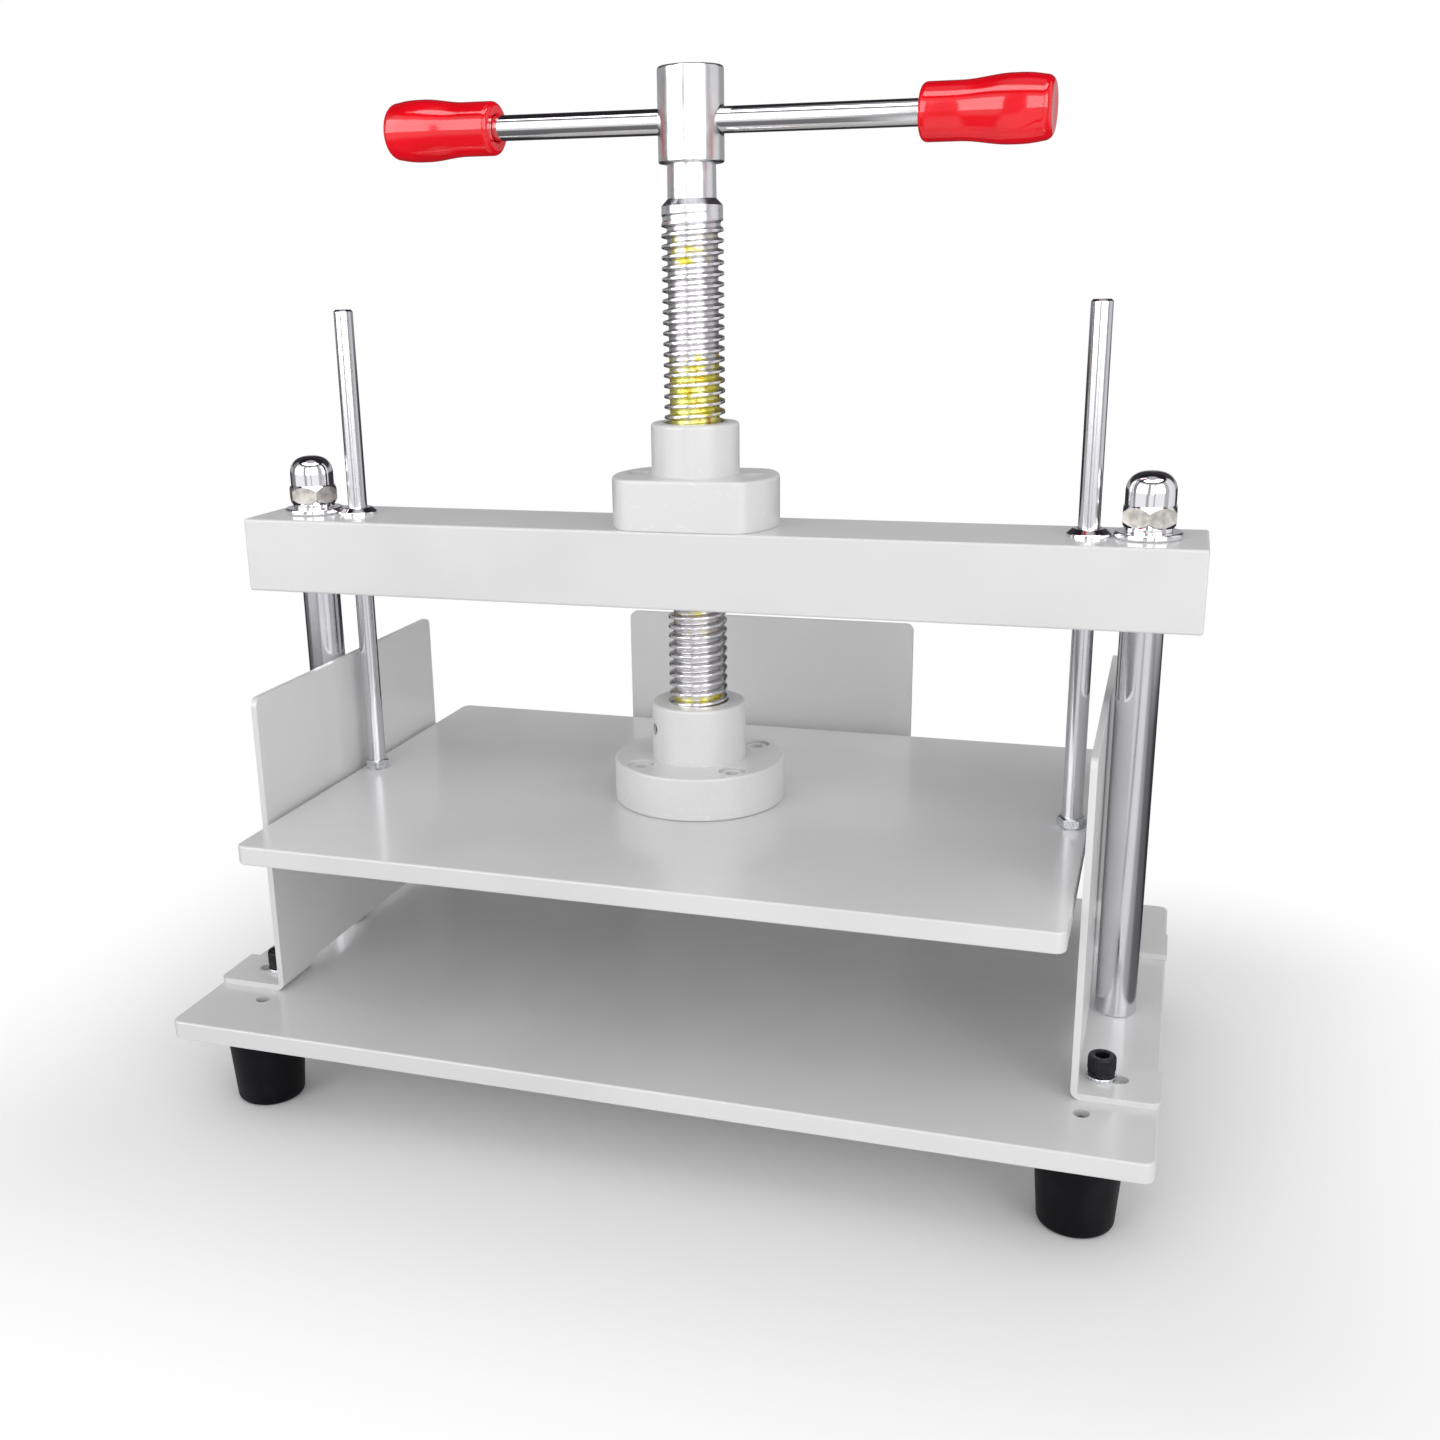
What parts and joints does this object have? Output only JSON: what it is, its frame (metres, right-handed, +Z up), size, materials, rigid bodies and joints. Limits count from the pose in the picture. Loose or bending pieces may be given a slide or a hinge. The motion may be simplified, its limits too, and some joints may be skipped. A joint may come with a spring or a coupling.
{
  "type": "manual screw press",
  "caption": "Hand-turned screw press for books and flat paper: pressing plate on guide rods under a crossbeam on two columns, with side and back guards over a flat bed",
  "frame": {"origin": "on the table, under the screw's axis and midway between the four feet", "axes": "+X to the right as the press is used, +Y to the back, +Z up along the screw"},
  "size_m": [0.391, 0.2352, 0.4047],
  "materials": {
    "grey_enamel": "gloss, light warm grey",
    "polished_steel": "polished",
    "turned_steel": "turned, bright",
    "zinc_plate": "dull zinc",
    "black_oxide": "black oxide, satin",
    "black_rubber": "satin",
    "bronze": "turned bronze",
    "red_plastic": "gloss"
  },
  "bodies": {
    "frame": {"base_plate": "grey_enamel", "rubber_feet": "black_rubber", "foot_washers": "zinc_plate", "foot_screws": "zinc_plate", "left_column": "polished_steel", "right_column": "polished_steel", "column_bolt_washers": "zinc_plate", "column_bolts": "zinc_plate", "crossbeam": "grey_enamel", "column_washers": "polished_steel", "acorn_nuts": "polished_steel", "left_guide_bush": "polished_steel", "right_guide_bush": "polished_steel", "screw_nut": "grey_enamel", "nut_screws": "grey_enamel", "right_guard": "grey_enamel", "left_guard": "grey_enamel", "back_guard": "grey_enamel", "back_guard_screws": "black_oxide", "guard_flat_washers": "black_oxide", "guard_lock_washers": "black_oxide", "guard_screws": "black_oxide"},
    "platen": {"pressing_plate": "grey_enamel", "thrust_housing": "grey_enamel", "housing_screws": "grey_enamel", "thrust_washer": "bronze", "retaining_screw": "black_oxide", "left_guide_rod": "polished_steel", "right_guide_rod": "polished_steel", "rod_lock_nuts": "polished_steel"},
    "spindle": {"lead_screw": "turned_steel", "turning_bar": "turned_steel", "left_grip": "red_plastic", "right_grip": "red_plastic"}
  },
  "joints": [
    {"name": "platen_travel", "type": "slide", "parent": "frame", "child": "platen", "axis": [0, 0, 1], "range_m": [-0.0684, 0.0417]},
    {"name": "screw_turn", "type": "hinge", "parent": "platen", "child": "spindle", "pos_m": [0, 0, 0.3], "axis": [0, 0, 1], "range_deg": [-6156, 3753]}
  ],
  "couplings": [
    {"joint": "platen_travel", "follows": "screw_turn", "m_per_rad": 0.00063662}
  ]
}
